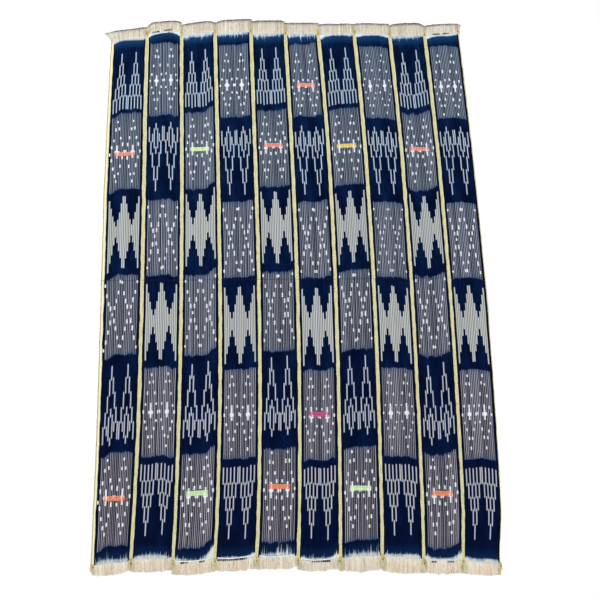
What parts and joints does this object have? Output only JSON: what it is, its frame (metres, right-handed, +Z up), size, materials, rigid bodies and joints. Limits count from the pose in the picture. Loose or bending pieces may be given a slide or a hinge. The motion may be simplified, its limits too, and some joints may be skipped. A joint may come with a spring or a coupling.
{
  "type": "handwoven strip cloth",
  "caption": "Large flat cloth of narrow resist-dyed strips sewn side by side, indigo and grey blocks in a checkerboard, pale yellow edges, fringed at both ends.",
  "frame": {"origin": "on the ground under the middle of the cloth's outline", "axes": "+Z up out of the cloth's face, +Y along the warp towards the end that is at the top of the picture, +X across the strips to the right"},
  "size_m": [1.119, 1.6438, 0.0041],
  "materials": {
    "woven_cotton": "matt handwoven cotton, deep indigo with grey striped blocks",
    "fringe_yarn": "matt undyed cotton yarn"
  },
  "bodies": {
    "root": {"strip_01": "woven_cotton", "strip_02": "woven_cotton", "strip_03": "woven_cotton", "strip_04": "woven_cotton", "strip_05": "woven_cotton", "strip_06": "woven_cotton", "strip_07": "woven_cotton", "strip_08": "woven_cotton", "strip_09": "woven_cotton", "strip_10": "woven_cotton", "fringe_top_01": "fringe_yarn", "fringe_top_02": "fringe_yarn", "fringe_top_03": "fringe_yarn", "fringe_top_04": "fringe_yarn", "fringe_top_05": "fringe_yarn", "fringe_top_06": "fringe_yarn", "fringe_top_07": "fringe_yarn", "fringe_top_08": "fringe_yarn", "fringe_top_09": "fringe_yarn", "fringe_top_10": "fringe_yarn", "fringe_foot_01": "fringe_yarn", "fringe_foot_02": "fringe_yarn", "fringe_foot_03": "fringe_yarn", "fringe_foot_04": "fringe_yarn", "fringe_foot_05": "fringe_yarn", "fringe_foot_06": "fringe_yarn", "fringe_foot_07": "fringe_yarn", "fringe_foot_08": "fringe_yarn", "fringe_foot_09": "fringe_yarn", "fringe_foot_10": "fringe_yarn"}
  },
  "joints": []
}
